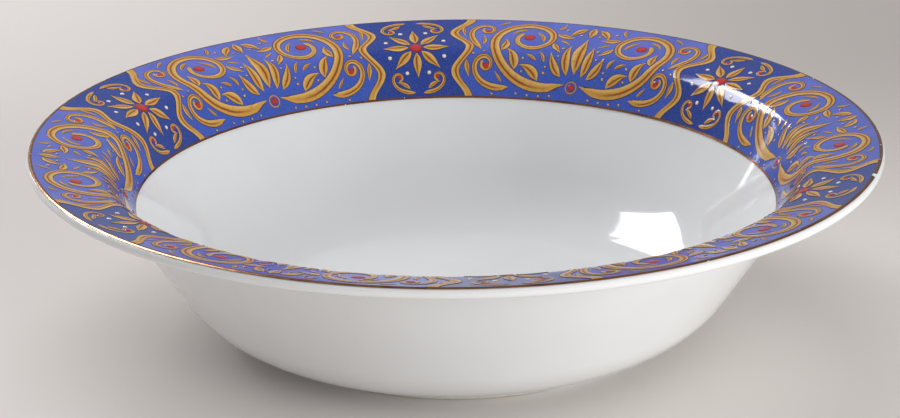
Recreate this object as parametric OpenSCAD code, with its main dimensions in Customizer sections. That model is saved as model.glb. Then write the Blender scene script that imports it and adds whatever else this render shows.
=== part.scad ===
// Rimmed porcelain vegetable bowl with an enamelled and gilded band.
// The bowl is revolved about Z and stands on its foot ring at z = 0.
// Its pattern is drawn flat and wrapped onto the band inside the rim.

/* [Bowl] */
// Diameter across the rim edge
rim_d = 250; // [225:1:275]
// Height of the rim edge above the table
bowl_h = 61; // [56:1:66]
// Level width of the rim, from its edge to the shoulder
rim_w = 21.5; // [19:0.5:24]
// Fall of the rim towards the inside, in degrees
rim_fall = 13; // [10:0.5:16]
// Thickness of the rim
rim_t = 2.9; // [2.5:0.1:3.4]
// Slope of the side wall, in degrees
wall_slope = 57; // [54:0.5:60]
// Thickness of the side wall
wall_t = 2.9; // [2.5:0.1:3.4]
// Thickness of the base
base_t = 4.4; // [3.8:0.1:5.2]
// Radius of the shoulder between the wall and the rim
shoulder_r = 8; // [6:0.5:10]
// Radius of the hollow under the rim
root_r = 5; // [3:0.5:7]
// Radius of the curve between the floor and the wall
floor_r = 34; // [28:1:40]
// Radius of the curve outside, between the base and the wall
heel_r = 32; // [26:1:36]

/* [Foot] */
// Width of the foot ring where it bears
foot_w = 3.4; // [3:0.1:4]
// Height of the recess inside the foot ring
foot_h = 3; // [2.4:0.1:3.6]
// Height of the foot ring outside
foot_side = 3.2; // [2.6:0.1:3.8]
// Lean of the sides of the foot ring
foot_lean = 1.2; // [0.8:0.1:1.6]
// Rounding of the bearing edge
foot_edge_r = 0.8; // [0.6:0.1:1]
// Radius of the hollows beside the foot ring
foot_hollow_r = 1.4; // [1:0.1:2]
// Level width of the underside from the foot ring out to the heel
heel_w = 19.5; // [16:0.5:23]
// Rise of the underside from the foot ring to the heel, in degrees
heel_rise = 14.5; // [12:0.5:17]

/* [Glaze and colours] */
// Thickness of the glaze
glaze_t = 0.3; // [0.2:0.05:0.4]
// Height of the strip round the foot that is wiped bare
wipe_h = 1; // [0.8:0.1:1.4]
// Thickness of the printed colours
ground_t = 0.15; // [0.1:0.05:0.25]
// Thickness of the raised gold and jewels
enamel_t = 0.2; // [0.1:0.05:0.3]
// Depth of the inner gilt line below the rim edge
band_depth = 18.4; // [16:0.2:21]
// Width of the inner gilt line
inner_line_w = 0.7; // [0.5:0.1:1.2]
// Width of the gilt edge over the rounded lip
edge_line_w = 0.9; // [0.6:0.1:1.4]

/* [Panels] */
// Number of panels round the band
panel_count = 6; // [4:1:8]
// Turn of the pattern about the bowl, in degrees
pattern_turn = 7; // [0:1:60]
// Greatest width of a panel
panel_w = 36; // [30:1:40]
// Depth of the waists in the sides of a panel
panel_waist = 5; // [3:0.5:6]
// Width of the gold frame beside a panel
frame_w = 3; // [2:0.1:4]
// Radius of the rosette in a panel
rosette_r = 11; // [9:0.5:12]
// Number of petals in a rosette
petal_count = 8; // [6:1:10]
// Radius of the jewel in a rosette
jewel_r = 2.2; // [1.6:0.1:2.8]
// Radius of a berry in a curl of middling width
berry_r = 1.2; // [0.8:0.1:1.5]

/* [Hidden] */
$fn = 180;

// Degrees that one straight step of a rounded profile turns through, and the least step up the band
arc_step = 4;
least_step = 0.01;

// Sections along the curve of each kind of stroke
stem_steps = 20;
leaf_steps = 5;
frame_steps = 16;

// Share of the circle half way out that the petals of a rosette fill
petal_share = 0.75;

// Clearance that keeps each layer off the one under it, and the lifts of the layers off the glaze
seat = 0.12;
ground_top = seat + ground_t;
enamel_base = ground_top + seat;
enamel_top = enamel_base + enamel_t;

// Shares that a stem thins by along its length, starts with at its root and takes to fill out
taper_share = 0.6;
root_share = 0.55;
swell_share = 0.15;

// Powers that bring the broadest place of a leaf near its root and the sections of a stem close in its curl
leaf_power = 0.75;
curl_power = 0.65;

// Least width of a leaf at its tip, as a share of its greatest width
tip_share = 0.06;

// Gap between a berry and the end of its curl, and between a jewel and its petals
eye_gap = 0.3;

// Radius of the rounded lip as a share of the rim's thickness
lip_share = 0.45;

// Corners of the profile, before rounding
rim_r = rim_d / 2;
lip_r = lip_share * rim_t;
edge_z = bowl_h + lip_r * (1 / cos(rim_fall) + tan(rim_fall) - 1);
under_z = edge_z - rim_t / cos(rim_fall);
shoulder = [rim_r - rim_w, edge_z - rim_w * tan(rim_fall)];
floor_z = foot_h + base_t;
floor_corner = meet(shoulder, wall_slope, [0, floor_z], 0);
outer_wall = shoulder + wall_t * [sin(wall_slope), -cos(wall_slope)];
root = meet([rim_r, under_z], rim_fall, outer_wall, wall_slope);
heel = meet(outer_wall, wall_slope, [0, foot_side + heel_w * tan(heel_rise)], 0);
foot_top = [heel.x - heel_w, foot_side];
foot_out = foot_top.x - foot_lean;
foot_in = foot_out - foot_w;

// Each corner is [radius, height, rounding], from the middle of the underside to the middle of the floor
corners = [
    [0, foot_h, 0],
    [foot_in - foot_lean, foot_h, foot_hollow_r],
    [foot_in, 0, foot_edge_r],
    [foot_out, 0, foot_edge_r],
    [foot_top.x, foot_top.y, foot_hollow_r],
    [heel.x, heel.y, heel_r],
    [root.x, root.y, root_r],
    [rim_r, under_z, lip_r],
    [rim_r, edge_z, lip_r],
    [shoulder.x, shoulder.y, shoulder_r],
    [floor_corner.x, floor_corner.y, floor_r],
    [0, floor_z, 0]
];

// Stretches of the inside surface that the band covers: wall, shoulder, rim
shoulder_turn = wall_slope - rim_fall;
shoulder_cut = shoulder_r * tan(shoulder_turn / 2);
wall_end = shoulder - shoulder_cut * [cos(wall_slope), sin(wall_slope)];
rim_start = shoulder + shoulder_cut * [cos(rim_fall), sin(rim_fall)];
shoulder_mid = rim_start + shoulder_r * [sin(rim_fall), -cos(rim_fall)];
lip_cut = lip_r * tan((90 + rim_fall) / 2);
wall_len = (wall_end.y - bowl_h + band_depth) / sin(wall_slope);
arc_len = shoulder_r * shoulder_turn * PI / 180;
rim_len = rim_w / cos(rim_fall) - shoulder_cut - lip_cut;
band_w = wall_len + arc_len + rim_len;
shoulder_steps = ceil(shoulder_turn / arc_step);

// The pattern is drawn flat, in mm along the middle of the band
pitch = 360 / panel_count;
middle_r = band_at(band_w / 2, 0).x;
field_w = pitch * PI / 180 * middle_r - panel_w;

// Half a scroll field is drawn on a sheet of this size and stretched to the real one
sheet = [40, 37];
stretch = [field_w / 2 / sheet.x, band_w / sheet.y];

// Kinds of stroke
STEM = 0;
LEAF = 1;

// Strokes of half a field: start across and up, heading, length, bend, curl, width, kind
half_field = [
    [3.2, 6.2, -22, 92, 225, 300, 4.6, STEM],
    [24.8, 4, -10, 34, 100, 420, 3, STEM],
    [35.9, 17.4, 56, 30, 50, 400, 2.8, STEM],
    [14, 6.8, 66, 9.4, -60, 0, 3.8, LEAF],
    [23.3, 10.4, 98, 8.6, -60, 0, 3.8, LEAF],
    [28.5, 17.3, 127, 7, -60, 0, 3.2, LEAF],
    [10.8, 22.8, 245, 6.4, -20, 0, 2.6, LEAF],
    [10.9, 29, 208, 6.8, -30, 0, 2.8, LEAF],
    [2.9, 9.4, 70, 13, 30, 0, 3.6, LEAF],
    [5.2, 8.8, 40, 10, 40, 0, 3.4, LEAF],
    [2.2, 34, -34, 7, -36, 0, 3, LEAF],
    [41.1, 13.4, -92, 6.2, -14, 0, 2.2, LEAF]
];

// Leaves up the middle of a field, and the place of the berry under them
middle_leaves = [
    [0, 10.2, 90, 17, 0, 0, 4.8, LEAF],
    [0, 35, -90, 6.6, 0, 0, 3.2, LEAF]
];
middle_berry = [0, 5.4];

// Width on the sheet of a stem of middling width
middling_w = 3;

// Point where the line through p at angle a meets the line through q at angle b
function meet(p, a, q, b) =
    let (d = q - p, t = (d.x * sin(b) - d.y * cos(b)) / sin(b - a))
    p + t * [cos(a), sin(a)];

function unit(v) = v / norm(v);
function angle(v) = atan2(v.y, v.x);

// Points of the arc of radius r that rounds corner b between a and c
function rounded(a, b, c, r) =
    let (
        u = unit(a - b),
        v = unit(c - b),
        half = acos(u * v) / 2,
        middle = b + unit(u + v) * r / sin(half),
        start = angle(b + u * r / tan(half) - middle),
        turn = (u.x * v.y - u.y * v.x > 0 ? -1 : 1) * (180 - 2 * half),
        steps = max(1, ceil((180 - 2 * half) / arc_step))
    )
    [for (i = [0:steps]) middle + r * [cos(start + turn * i / steps), sin(start + turn * i / steps)]];

// Outline of a list of corners with their roundings
function outline(list) = [
    for (i = [0:len(list) - 1])
        each list[i][2] > 0
            ? rounded(spot(list[i - 1]), spot(list[i]), spot(list[i + 1]), list[i][2])
            : [spot(list[i])]
];
function spot(corner) = [corner.x, corner.y];

// The same corners moved into the solid by t, which keeps the rounded outline parallel
function inset(list, t) =
    let (
        n = len(list),
        slopes = [for (i = [0:n - 2]) angle(spot(list[i + 1]) - spot(list[i]))],
        lines = [for (i = [0:n - 2]) spot(list[i]) + t * [-sin(slopes[i]), cos(slopes[i])]]
    )
    [for (i = [0:n - 1])
        let (
            p = i == 0 ? meet(lines[0], slopes[0], [0, 0], 90)
                : i == n - 1 ? meet(lines[n - 2], slopes[n - 2], [0, 0], 90)
                : meet(lines[i - 1], slopes[i - 1], lines[i], slopes[i]),
            left = i > 0 && i < n - 1 && sin(slopes[i] - slopes[i - 1]) > 0
        )
        [p.x, p.y, list[i][2] == 0 ? 0 : list[i][2] + (left ? -t : t)]];

// Slope of the inside surface, s mm up from the inner gilt line, and the point there lifted off the glaze
function band_slope(s) =
    s <= wall_len ? wall_slope
    : s >= wall_len + arc_len ? rim_fall
    : wall_slope - (s - wall_len) / shoulder_r * 180 / PI;
function band_at(s, lift) =
    let (a = band_slope(s), up = [-sin(a), cos(a)])
    s <= wall_len ? wall_end + (s - wall_len) * [cos(a), sin(a)] + lift * up
    : s >= wall_len + arc_len ? rim_start + (s - wall_len - arc_len) * [cos(a), sin(a)] + lift * up
    : shoulder_mid + (shoulder_r + lift) * up;

// Distances up the band from s0 to s1, with the steps of the shoulder between them
function band_stops(s0, s1) =
    let (steps = [for (i = [0:shoulder_steps]) wall_len + arc_len * i / shoulder_steps])
    concat([s0], [for (s = steps) if (s > s0 + least_step && s < s1 - least_step) s], [s1]);

// Flat pattern point [along, up] set on the band and lifted off the glaze
function on_band(p, lift) =
    let (q = band_at(p.y, lift), a = -p.x / middle_r * 180 / PI)
    [q.x * cos(a), q.x * sin(a), q.y];

// A stroke is cut into sections, closer together towards the end of a curl
function sections(stroke) = stroke[7] == LEAF ? leaf_steps : stem_steps;
function share(stroke, i) = stroke[7] == LEAF ? i / leaf_steps : pow(i / stem_steps, curl_power);

// Heading of a stroke at share t of its length, the step from section i to the next, and its middle line
function heading(stroke, t) = stroke[2] + stroke[4] * t + stroke[5] * pow(t, 3);
function step(stroke, i) =
    let (t0 = share(stroke, i), t1 = share(stroke, i + 1), a = heading(stroke, (t0 + t1) / 2))
    stroke[3] * (t1 - t0) * [cos(a), sin(a)];
function middle_line(stroke) = [
    for (i = 0, p = [stroke[0], stroke[1]]; i <= sections(stroke); p = p + step(stroke, i), i = i + 1) p
];

// A stem swells from its root and thins into its curl, a leaf is broad near its root and pointed at its tip
function stem_width(w, t) =
    w * (1 - taper_share * t) * (root_share + (1 - root_share) * min(1, t / swell_share));
function leaf_width(w, t) = w * max(tip_share, sin(180 * pow(t, leaf_power)));
function stroke_width(stroke, t) = stroke[7] == LEAF ? leaf_width(stroke[6], t) : stem_width(stroke[6], t);

// A strip is a list of [left point, right point] pairs along a stroke
function strip(stroke) =
    let (line = middle_line(stroke))
    [for (i = [0:sections(stroke)])
        let (
            t = share(stroke, i),
            a = heading(stroke, t),
            side = stroke_width(stroke, t) / 2 * [-sin(a), cos(a)]
        )
        [line[i] + side, line[i] - side]];
function mirrored(strip) = [for (e = strip) [[-e[1].x, e[1].y], [-e[0].x, e[0].y]]];

// A point of the sheet, or a whole strip drawn on it, stretched to the real field
function on_field(p) = [p.x * stretch.x, p.y * stretch.y];
function stretched(strip) = [for (e = strip) [for (p = e) on_field(p)]];

// Half width of a panel at height y on the band
function panel_half(y) = panel_w / 2 - panel_waist / 2 * (1 - cos(720 * y / band_w));

// Frame strip up the side of a panel, astride its edge
function frame_strip() = [
    for (i = [0:frame_steps])
        let (y = inner_line_w + (band_w - inner_line_w) * i / frame_steps, x = panel_half(y))
        [[x - frame_w / 2, y], [x + frame_w / 2, y]]
];

// Petal strips of a rosette about the middle of a panel
function petal(k) =
    let (a = 360 * k / petal_count, r0 = jewel_r + eye_gap, w = petal_share * PI * rosette_r / petal_count)
    strip([r0 * cos(a), band_w / 2 + r0 * sin(a), a, rosette_r - r0, 0, 0, w, LEAF]);

// Solid of revolution of the surface film between s0 and s1, from lift a to lift b
module film(s0, s1, a, b) {
    stops = band_stops(s0, s1);
    last = len(stops) - 1;
    rotate_extrude()
        polygon(concat(
            [for (s = stops) band_at(s, a)],
            [for (i = [last:-1:0]) band_at(stops[i], b)]
        ));
}

// Raised enamel on all the given strips
module enamel(strips) {
    sizes = [for (s = strips) len(s)];
    first = [for (j = 0, b = 0; j < len(strips); b = b + 4 * sizes[j], j = j + 1) b];
    points = [
        for (s = strips)
            for (e = s)
                for (lift = [enamel_base, enamel_top])
                    each [on_band(e[0], lift), on_band(e[1], lift)]
    ];
    sides = [
        for (j = [0:len(strips) - 1])
            for (i = [0:sizes[j] - 2])
                let (a = first[j] + 4 * i, b = a + 4)
                each [
                    [a + 2, b + 2, b + 3, a + 3],
                    [a, a + 1, b + 1, b],
                    [a, b, b + 2, a + 2],
                    [a + 1, a + 3, b + 3, b + 1]
                ]
    ];
    ends = [
        for (j = [0:len(strips) - 1])
            let (a = first[j], b = a + 4 * (sizes[j] - 1))
            each [[a, a + 2, a + 3, a + 1], [b, b + 1, b + 3, b + 2]]
    ];
    polyhedron(points, concat(sides, ends), convexity = 10);
}

// Round drop of enamel at a pattern point, cut square to the surface there
module drop(p, r) {
    reach = 2 * r;
    intersection() {
        film(p.y - reach, p.y + reach, enamel_base, enamel_top);
        translate(on_band(p, 0))
            rotate([0, -band_slope(p.y), -p.x / middle_r * 180 / PI])
                cylinder(r = r, h = reach, center = true);
    }
}

// Plan of one panel, a little longer than the band is deep
module panel_plan() {
    side = [
        for (i = [0:frame_steps])
            let (y = band_w * i / frame_steps)
            [band_at(y, 0).x, panel_half(y) / middle_r * 180 / PI]
    ];
    spare = 2;
    end = side[frame_steps];
    grown = concat([[side[0].x - spare, side[0].y]], side, [[end.x + spare, end.y]]);
    last = len(grown) - 1;
    linear_extrude(bowl_h + spare)
        polygon(concat(
            [for (e = grown) e.x * [cos(e.y), -sin(e.y)]],
            [for (i = [last:-1:0]) grown[i].x * [cos(grown[i].y), sin(grown[i].y)]]
        ));
}

module whole_profile() {
    polygon(outline(corners));
}

module body_profile() {
    polygon(outline(inset(corners, glaze_t)));
    intersection() {
        whole_profile();
        translate([foot_in - foot_lean, 0]) square([foot_w + 2 * foot_lean, wipe_h]);
    }
}

module porcelain_body() {
    color("whitesmoke") rotate_extrude() body_profile();
}

module glaze_coat() {
    color("white") rotate_extrude() difference() {
        whole_profile();
        body_profile();
    }
}

module ground_band() {
    color([0.40, 0.44, 0.78]) difference() {
        film(inner_line_w, band_w, seat, ground_top);
        for (k = [1:panel_count]) rotate([0, 0, panel_turn(k)]) panel_plan();
    }
}

module inner_gilt_line() {
    color([0.55, 0.36, 0.18]) film(0, inner_line_w, seat, ground_top);
}

// The gilt edge runs outward over the rounded lip from the end of the band
module edge_gilt_line() {
    middle = [rim_r - lip_r, bowl_h - lip_r];
    sweep = edge_line_w / lip_r * 180 / PI;
    steps = ceil(sweep / arc_step);
    turns = [for (i = [0:steps]) 90 + rim_fall - sweep * i / steps];
    color([0.55, 0.36, 0.18]) rotate_extrude()
        polygon(concat(
            [for (a = turns) middle + (lip_r + seat) * [cos(a), sin(a)]],
            [for (i = [steps:-1:0]) middle + (lip_r + ground_top) * [cos(turns[i]), sin(turns[i])]]
        ));
}

function panel_turn(k) = pattern_turn + 90 + pitch * (k - 1);
function field_turn(k) = panel_turn(k) + pitch / 2;

module panel_field(k) {
    color([0.14, 0.25, 0.59]) rotate([0, 0, panel_turn(k)]) intersection() {
        film(inner_line_w, band_w, seat, ground_top);
        panel_plan();
    }
}

module panel_frame(k) {
    color([0.84, 0.65, 0.29]) rotate([0, 0, panel_turn(k)])
        enamel([frame_strip(), mirrored(frame_strip())]);
}

module rosette(k) {
    color([0.84, 0.65, 0.29]) rotate([0, 0, panel_turn(k)])
        enamel([for (i = [1:petal_count]) petal(i)]);
}

module jewel(k) {
    color([0.75, 0.24, 0.20]) rotate([0, 0, panel_turn(k)])
        drop([0, band_w / 2], jewel_r);
}

module scroll_field(k) {
    strips = [for (s = half_field) stretched(strip(s))];
    middle = [for (s = middle_leaves) stretched(strip(s))];
    color([0.84, 0.65, 0.29]) rotate([0, 0, field_turn(k)])
        enamel(concat(strips, [for (s = strips) mirrored(s)], middle));
}

// One berry in the eye of each curl and one under the middle leaves
module berries(k) {
    stems = [for (s = half_field) if (s[7] == STEM) s];
    color([0.75, 0.24, 0.20]) rotate([0, 0, field_turn(k)]) {
        for (s = stems, side = [-1, 1]) drop([side * eye(s).x, eye(s).y], curl_berry_r(s));
        drop(on_field(middle_berry), berry_r);
    }
}

// Radius of the berry in a curl, and the point just inside the curl's end where it sits
function curl_berry_r(stroke) = berry_r * stroke[6] / middling_w;
function eye(stroke) =
    let (
        end = on_field(middle_line(stroke)[stem_steps]),
        a = heading(stroke, 1) + 90 * sign(stroke[5]),
        away = curl_berry_r(stroke) + stroke_width(stroke, 1) * stretch.y / 2 + eye_gap
    )
    end + away * [cos(a), sin(a)];

porcelain_body();
glaze_coat();
ground_band();
inner_gilt_line();
edge_gilt_line();
for (k = [1:panel_count]) {
    panel_field(k);
    panel_frame(k);
    rosette(k);
    jewel(k);
    scroll_field(k);
    berries(k);
}
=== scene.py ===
"""A rimmed porcelain vegetable bowl with an enamelled and gilded band, on its measured frame."""

import math
from collections import namedtuple

import bpy
from mathutils import Matrix, Vector


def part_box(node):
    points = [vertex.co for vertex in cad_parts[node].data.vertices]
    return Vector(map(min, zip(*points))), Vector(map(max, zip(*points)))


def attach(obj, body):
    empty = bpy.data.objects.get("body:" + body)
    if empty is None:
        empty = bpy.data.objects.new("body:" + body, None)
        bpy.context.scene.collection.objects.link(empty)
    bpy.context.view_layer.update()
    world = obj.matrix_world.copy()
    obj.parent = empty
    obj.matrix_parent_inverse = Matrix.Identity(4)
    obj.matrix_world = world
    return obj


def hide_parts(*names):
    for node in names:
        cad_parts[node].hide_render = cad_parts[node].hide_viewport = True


bl_info = {
    "name": "Vegetable Bowl",
    "version": (1, 0, 0),
    "blender": (4, 5, 0),
    "location": "3D View > Sidebar > Bowl",
    "description": "Makes a rimmed porcelain bowl with an enamelled and gilded band",
    "category": "Add Mesh",
}

MM = 0.001
BODY = "root"

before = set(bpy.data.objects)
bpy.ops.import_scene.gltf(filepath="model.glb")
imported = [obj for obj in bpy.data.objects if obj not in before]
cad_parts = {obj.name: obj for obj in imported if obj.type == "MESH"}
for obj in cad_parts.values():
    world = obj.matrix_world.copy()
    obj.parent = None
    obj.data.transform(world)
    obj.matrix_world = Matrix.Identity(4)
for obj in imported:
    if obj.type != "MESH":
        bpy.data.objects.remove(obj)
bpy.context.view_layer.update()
GLAZE_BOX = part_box("glaze_coat")
PANELS = sum(node.startswith("panel_field_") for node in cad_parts)


# Settings

def linear(value):
    """Linear light of one 8-bit display value"""
    share = value / 255
    return share / 12.92 if share <= 0.04045 else ((share + 0.055) / 1.055) ** 2.4


def amount(name, description, default, **options):
    return bpy.props.FloatProperty(name=name, description=description, default=default, **options)


def length(name, description, mm):
    return amount(name, description, mm * MM, min=0, precision=5, unit="LENGTH")


def angle(name, description, degrees):
    return amount(name, description, math.radians(degrees), subtype="ANGLE")


def wattage(name, description, watts):
    return amount(name, description, watts, min=0, unit="POWER")


def number(name, description, default):
    return bpy.props.IntProperty(name=name, description=description, default=default, min=1)


def colour(name, description, red, green, blue):
    return bpy.props.FloatVectorProperty(
        name=name,
        description=description,
        default=(linear(red), linear(green), linear(blue)),
        subtype="COLOR",
        min=0,
        max=1,
    )


class BowlSizes(bpy.types.PropertyGroup):
    """Sizes of the porcelain"""

    rim_d: length("Rim diameter", "Diameter across the rim edge", 2 * GLAZE_BOX[1].x / MM)
    bowl_h: length("Height", "Height of the rim edge above the table", GLAZE_BOX[1].z / MM)
    rim_w: length("Rim width", "Level width of the rim, from its edge to the shoulder", 21.5)
    rim_fall: angle("Rim fall", "Fall of the rim towards the inside", 13)
    rim_t: length("Rim thickness", "Thickness of the rim", 2.9)
    wall_slope: angle("Wall slope", "Slope of the side wall", 57)
    wall_t: length("Wall thickness", "Thickness of the side wall", 2.9)
    base_t: length("Base thickness", "Thickness of the base", 4.4)
    shoulder_r: length("Shoulder radius", "Curve between the wall and the rim", 8)
    root_r: length("Rim root radius", "Radius of the hollow under the rim", 5)
    floor_r: length("Floor radius", "Curve between the floor and the wall", 34)
    heel_r: length("Heel radius", "Curve outside, between the base and the wall", 32)
    foot_w: length("Foot width", "Width of the foot ring where it bears", 3.4)
    foot_h: length("Foot recess", "Height of the recess inside the foot ring", 3)
    foot_side: length("Foot side", "Height of the foot ring outside", 3.2)
    foot_lean: length("Foot lean", "Lean of the sides of the foot ring", 1.2)
    foot_edge_r: length("Foot edge radius", "Rounding of the bearing edge", 0.8)
    foot_hollow_r: length("Foot hollow radius", "Radius of the hollows beside the foot ring", 1.4)
    heel_w: length("Heel width", "Level width from the foot ring to the heel", 19.5)
    heel_rise: angle("Heel rise", "Rise of the underside from the foot ring to the heel", 14.5)
    glaze_t: length("Glaze thickness", "Thickness of the glaze", 0.3)
    wipe_h: length("Bare strip", "Height of the strip round the foot that is wiped bare", 1)


class BandSizes(bpy.types.PropertyGroup):
    """Sizes of the coloured band"""

    seat: length("Seat", "Clearance under each layer", 0.12)
    ground_t: length("Colour thickness", "Thickness of the printed colours", 0.15)
    enamel_t: length("Enamel thickness", "Thickness of the raised gold", 0.2)
    band_depth: length("Band depth", "Depth of the inner gilt line below the rim edge", 18.4)
    inner_line_w: length("Inner line", "Width of the inner gilt line", 0.7)
    edge_line_w: length("Gilt edge", "Width of the gilt edge over the rounded lip", 0.9)
    nick_turn: angle("Nick", "Place of the worn nick in the gilt edge", -19)
    panels: number("Panels", "Number of panels round the band", PANELS)
    pattern_turn: angle("Pattern turn", "Turn of the pattern about the bowl", 7)
    panel_w: length("Panel width", "Greatest width of a panel", 36)
    panel_waist: length("Panel waist", "Depth of the waists in the sides of a panel", 5)
    frame_w: length("Frame width", "Width of the gold frame beside a panel", 3)
    rosette_r: length("Rosette radius", "Radius of the rosette in a panel", 11)
    petals: number("Petals", "Number of petals in a rosette", 8)
    jewel_r: length("Jewel radius", "Radius of the jewel in a rosette", 2.2)
    berry_r: length("Berry radius", "Radius of a berry in a curl of middling width", 1.2)


class BowlColours(bpy.types.PropertyGroup):
    """Colours of the finishes"""

    glaze: colour("Glaze", "White glazed porcelain", 237, 238, 239)
    bisque: colour("Bare porcelain", "Unglazed porcelain of the foot", 222, 216, 206)
    # The ground's blue is lightened towards the rim edge by painted sheen
    ground_top_painted_sheen: colour("Ground at the edge", "Blue of the ground at the rim edge", 93, 107, 203)
    ground_low: colour("Ground below", "Blue of the ground at the inner line", 50, 84, 186)
    panel: colour("Panel", "Blue of the panels", 18, 56, 148)
    gold: colour("Gold", "Body colour of the gold enamel", 207, 156, 70)
    gold_light: colour("Gold light", "Light side of the gold strokes", 224, 184, 112)
    gold_shade: colour("Gold shade", "Brown shading inside the gold strokes", 140, 68, 24)
    outline: colour("Outline", "Dark outline of the strokes", 70, 44, 44)
    red: colour("Red", "Red enamel of the jewels and berries", 192, 52, 46)
    white: colour("White", "White enamel of the pearls", 232, 232, 236)
    gilt: colour("Gilding", "Metal of the gilt lines", 176, 124, 84)
    gilt_thin: colour("Thin gilding", "Brown of the gilding where it is brushed thin", 122, 76, 52)


class StageSettings(bpy.types.PropertyGroup):
    """Floor, lights and camera"""

    floor: colour("Floor", "Pale paper under the bowl", 244, 239, 234)
    # The left and far floor colours are painted shade on the pale paper
    floor_left_painted_shade: colour("Left floor", "Paper on the left, where it is greyer", 224, 218, 217)
    floor_far_painted_shade: colour("Far floor", "Paper behind on the right, in shade", 180, 174, 171)
    surround: amount("Surround", "Strength of the even light from all round", 0.35, min=0)
    window: wattage("Window", "Power of the softbox behind on the left", 5)
    fill: wattage("Fill", "Power of the low softbox in front on the right", 12)
    overhead: wattage("Overhead", "Power of the softbox above and behind", 7.5)
    glint: wattage("Glint", "Power of the card that the glaze mirrors in front of the window", 10)
    strip: wattage("Strip", "Power of the tall card beside it that the gilding mirrors", 4.5)
    streak: wattage("Streak", "Power of the thin low card that the wall mirrors as a streak", 0.18)
    lens: length("Lens", "Focal length of the camera", 105)
    distance: length("Distance", "Distance of the camera from the middle of the rim", 773)
    elevation: angle("Elevation", "Height of the camera over the rim", 18.15)
    roll: angle("Roll", "Roll of the camera", -0.48)


class BowlSettings(bpy.types.PropertyGroup):
    """All the settings of the bowl"""

    sizes: bpy.props.PointerProperty(type=BowlSizes)
    band: bpy.props.PointerProperty(type=BandSizes)
    colours: bpy.props.PointerProperty(type=BowlColours)
    stage: bpy.props.PointerProperty(type=StageSettings)


def settings():
    return bpy.context.scene.bowl


# Section of the bowl

# Greatest distance of a chord from its arc
ARC_SAG = 0.003 * MM

# Radius of the rounded lip, as a share of the rim's thickness
LIP_SHARE = 0.45

# Number of waists in each side of a panel
WAISTS = 2


def heading_vector(a):
    return Vector((math.cos(a), math.sin(a)))


def left_of(a):
    return Vector((-math.sin(a), math.cos(a)))


def slope(v):
    return math.atan2(v.y, v.x)


def turned(spot, a):
    """A point of the section, at its radius and height, turned about Z"""
    return Vector((spot.x * math.cos(a), spot.x * math.sin(a), spot.y))


def even_turns(steps):
    """Angles of the steps of a full turn"""
    return [2 * math.pi * i / steps for i in range(steps)]


def meet(p, a, q, b):
    """Point where the line through p at angle a meets the line through q at angle b"""
    d = q - p
    return p + heading_vector(a) * (d.x * math.sin(b) - d.y * math.cos(b)) / math.sin(b - a)


def arc_steps(turn, radius):
    """Number of chords that keep within ARC_SAG of an arc"""
    return math.ceil(abs(turn) / 2 / math.acos(1 - ARC_SAG / radius))


def rounded(a, b, c, radius):
    """Points of the arc that rounds corner b between a and c"""
    u = (a - b).normalized()
    v = (c - b).normalized()
    half = u.angle(v) / 2
    middle = b + (u + v).normalized() * radius / math.sin(half)
    start = slope(b + u * radius / math.tan(half) - middle)
    turn = math.copysign(math.pi - 2 * half, -u.cross(v))
    steps = arc_steps(turn, radius)
    return [middle + radius * heading_vector(start + turn * i / steps) for i in range(steps + 1)]


def outline(corners):
    """Points of a section given by corners, each a point and its rounding"""
    points = []
    for i, (spot, radius) in enumerate(corners):
        if radius:
            points += rounded(corners[i - 1][0], spot, corners[i + 1][0], radius)
        else:
            points.append(spot)
    return points


def inset(corners, depth):
    """The same corners moved into the solid, which keeps the rounded outline parallel"""
    spots = [spot for spot, _ in corners]
    slopes = [slope(q - p) for p, q in zip(spots, spots[1:])]
    lines = [p + left_of(a) * depth for p, a in zip(spots, slopes)]
    axis = (Vector((0, 0)), math.pi / 2)
    moved = [meet(lines[0], slopes[0], *axis)]
    moved += [meet(lines[i - 1], slopes[i - 1], lines[i], slopes[i]) for i in range(1, len(lines))]
    moved.append(meet(lines[-1], slopes[-1], *axis))
    result = []
    for i, (spot, (_, radius)) in enumerate(zip(moved, corners)):
        if radius:
            radius += -depth if math.sin(slopes[i] - slopes[i - 1]) > 0 else depth
        result.append((spot, radius))
    return result


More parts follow.
